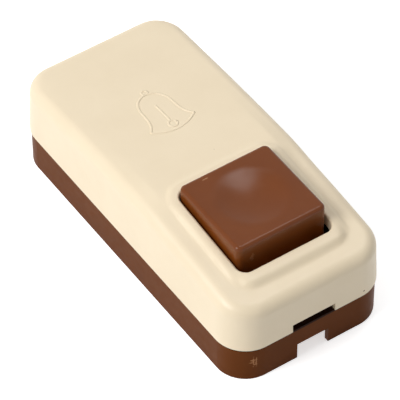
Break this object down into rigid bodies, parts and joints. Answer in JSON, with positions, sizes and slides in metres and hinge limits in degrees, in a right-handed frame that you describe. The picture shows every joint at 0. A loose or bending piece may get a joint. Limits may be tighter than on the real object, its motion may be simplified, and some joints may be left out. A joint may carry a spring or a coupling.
{
  "type": "doorbell push button",
  "caption": "Surface-mounted doorbell push: a pale shell on a dark tray, with a square rocking key, a dished finger face, leaf contact, return spring and screw terminals.",
  "frame": {"origin": "centre of the flat back that lies against the wall", "axes": "+Z out of the wall through the key, +Y along the length away from the cable end, +X to the right"},
  "size_m": [0.034, 0.073, 0.0236],
  "materials": {
    "cream_cover": "satin",
    "brown_base": "satin",
    "brown_key": "gloss",
    "spring_steel": "bright",
    "plated_steel": "bright",
    "contact_brass": "bright",
    "contact_silver": "bright"
  },
  "bodies": {
    "housing": {"base_tray": "brown_base", "cover": "cream_cover", "return_spring": "spring_steel", "moving_contact": "contact_brass", "fixed_contact": "contact_brass", "contact_stud": "contact_silver", "left_terminal_screw": "plated_steel", "left_clamp_washer": "plated_steel", "left_terminal_nut": "plated_steel", "left_strip_rivet": "contact_brass", "right_terminal_screw": "plated_steel", "right_clamp_washer": "plated_steel", "right_terminal_nut": "plated_steel", "right_strip_rivet": "contact_brass"},
    "key": {"push_key": "brown_key"}
  },
  "joints": [
    {"name": "key_tilt", "type": "hinge", "parent": "housing", "child": "key", "pos_m": [0, -0.0044, 0.0146], "axis": [1, 0, 0], "range_deg": [0, 6], "stiffness_Nm_per_rad": 0.3, "springref_deg": -2.86, "deforming": ["return_spring", "moving_contact"]}
  ]
}
